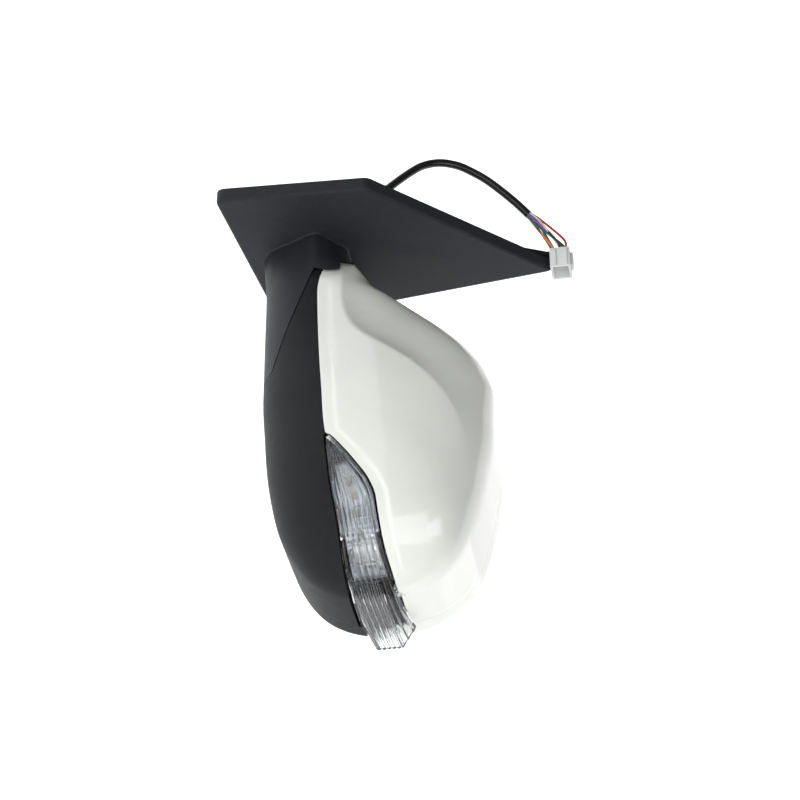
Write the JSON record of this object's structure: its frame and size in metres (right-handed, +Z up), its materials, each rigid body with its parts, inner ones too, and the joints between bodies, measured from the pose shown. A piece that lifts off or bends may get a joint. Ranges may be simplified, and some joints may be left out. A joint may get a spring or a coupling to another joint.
{
  "type": "car side mirror",
  "caption": "Left-hand car door mirror: folding head with painted cap and indicator lamp, power-tilted heated glass, triangular sail base and door-side wiring harness.",
  "frame": {"origin": "on the door-side face of the die-cast base bracket, under the foot of the head", "axes": "+X outboard from the door, +Y towards the rear of the car (the glass faces +Y), +Z up"},
  "size_m": [0.3351, 0.1281, 0.2067],
  "materials": {
    "cap_paint": "gloss white paint",
    "black_plastic": "fine grained satin",
    "lamp_clear": "clear moulded lens",
    "lamp_dark": "satin",
    "lamp_chrome": "vacuum metallised",
    "circuit_board": "solder mask",
    "led": "amber dome",
    "cast_metal": "die cast",
    "steel": "zinc plated",
    "rubber": "matt",
    "nylon": "natural nylon",
    "actuator_plastic": "satin",
    "mirror_face": "first surface mirror",
    "heater_film": "foil film",
    "wire_bundle": "coloured wire insulation",
    "connector_plastic": "natural translucent"
  },
  "bodies": {
    "base": {"base_cover": "black_plastic", "base_bracket": "cast_metal", "mount_stud_1": "steel", "mount_stud_2": "steel", "mount_stud_3": "steel", "sail_gasket": "rubber", "cover_screw_1": "steel", "cover_screw_2": "steel", "cover_screw_3": "steel", "pivot_post": "steel", "detent_ring": "steel", "fold_gear": "steel", "harness_grommet": "rubber", "harness_sleeve": "rubber", "harness_wires": "wire_bundle", "harness_connector": "connector_plastic", "connector_clip": "black_plastic"},
    "head": {"painted_cap": "cap_paint", "lower_shroud": "black_plastic", "rear_bezel": "black_plastic", "indicator_lens": "lamp_clear", "indicator_housing": "lamp_dark", "indicator_reflector": "lamp_chrome", "indicator_board": "circuit_board", "indicator_led_1": "led", "indicator_led_2": "led", "indicator_led_3": "led", "indicator_led_4": "led", "pivot_bush": "nylon", "pivot_spring": "steel", "spring_retainer": "steel", "head_frame": "cast_metal", "fold_motor": "steel", "actuator_housing": "actuator_plastic", "actuator_screw_1": "steel", "actuator_screw_2": "steel", "actuator_screw_3": "steel", "actuator_cover": "actuator_plastic", "yaw_motor": "steel", "pitch_motor": "steel"},
    "fold_worm": {"fold_worm": "steel"},
    "yaw_plunger": {"yaw_plunger": "nylon"},
    "pitch_plunger": {"pitch_plunger": "nylon"},
    "yaw_gear": {"yaw_gear": "nylon"},
    "pitch_gear": {"pitch_gear": "nylon"},
    "yaw_worm": {"yaw_worm": "steel"},
    "pitch_worm": {"pitch_worm": "steel"},
    "gimbal": {"pivot_ring": "nylon"},
    "glass": {"mirror_glass": "mirror_face", "heater_pad": "heater_film", "glass_carrier": "black_plastic"}
  },
  "joints": [
    {"name": "head_fold", "type": "hinge", "parent": "base", "child": "head", "pos_m": [0.048, 0, 0.0066], "axis": [0.3746, 0, 0.9272], "range_deg": [-35, 60]},
    {"name": "fold_worm_spin", "type": "hinge", "parent": "head", "child": "fold_worm", "pos_m": [0.07216, 0, 0.0114], "axis": [0, 1, 0], "continuous": true},
    {"name": "glass_yaw", "type": "hinge", "parent": "head", "child": "gimbal", "pos_m": [0.151, 0.032, 0.045], "axis": [0, 0, 1], "range_deg": [-7, 7]},
    {"name": "glass_pitch", "type": "hinge", "parent": "gimbal", "child": "glass", "pos_m": [0.151, 0.032, 0.045], "axis": [1, 0, 0], "range_deg": [-7, 7]},
    {"name": "yaw_plunger_slide", "type": "slide", "parent": "head", "child": "yaw_plunger", "axis": [0, 1, 0], "range_m": [-0.0034, 0.0034]},
    {"name": "pitch_plunger_slide", "type": "slide", "parent": "head", "child": "pitch_plunger", "axis": [0, 1, 0], "range_m": [-0.0034, 0.0034]},
    {"name": "yaw_gear_spin", "type": "hinge", "parent": "head", "child": "yaw_gear", "pos_m": [0.177, 0.0195, 0.045], "axis": [0, 1, 0], "continuous": true},
    {"name": "pitch_gear_spin", "type": "hinge", "parent": "head", "child": "pitch_gear", "pos_m": [0.151, 0.0195, 0.021], "axis": [0, 1, 0], "continuous": true},
    {"name": "yaw_worm_spin", "type": "hinge", "parent": "head", "child": "yaw_worm", "pos_m": [0.1654, 0.0195, 0.042], "axis": [0, 0, 1], "continuous": true},
    {"name": "pitch_worm_spin", "type": "hinge", "parent": "head", "child": "pitch_worm", "pos_m": [0.148, 0.0195, 0.0326], "axis": [1, 0, 0], "continuous": true}
  ],
  "couplings": [
    {"joint": "fold_worm_spin", "follows": "head_fold", "ratio": 18},
    {"joint": "yaw_plunger_slide", "follows": "glass_yaw", "m_per_rad": 0.026},
    {"joint": "pitch_plunger_slide", "follows": "glass_pitch", "m_per_rad": 0.024},
    {"joint": "yaw_gear_spin", "follows": "glass_yaw", "ratio": 20.42},
    {"joint": "pitch_gear_spin", "follows": "glass_pitch", "ratio": 18.85},
    {"joint": "yaw_worm_spin", "follows": "glass_yaw", "ratio": 163.36},
    {"joint": "pitch_worm_spin", "follows": "glass_pitch", "ratio": 150.8}
  ]
}
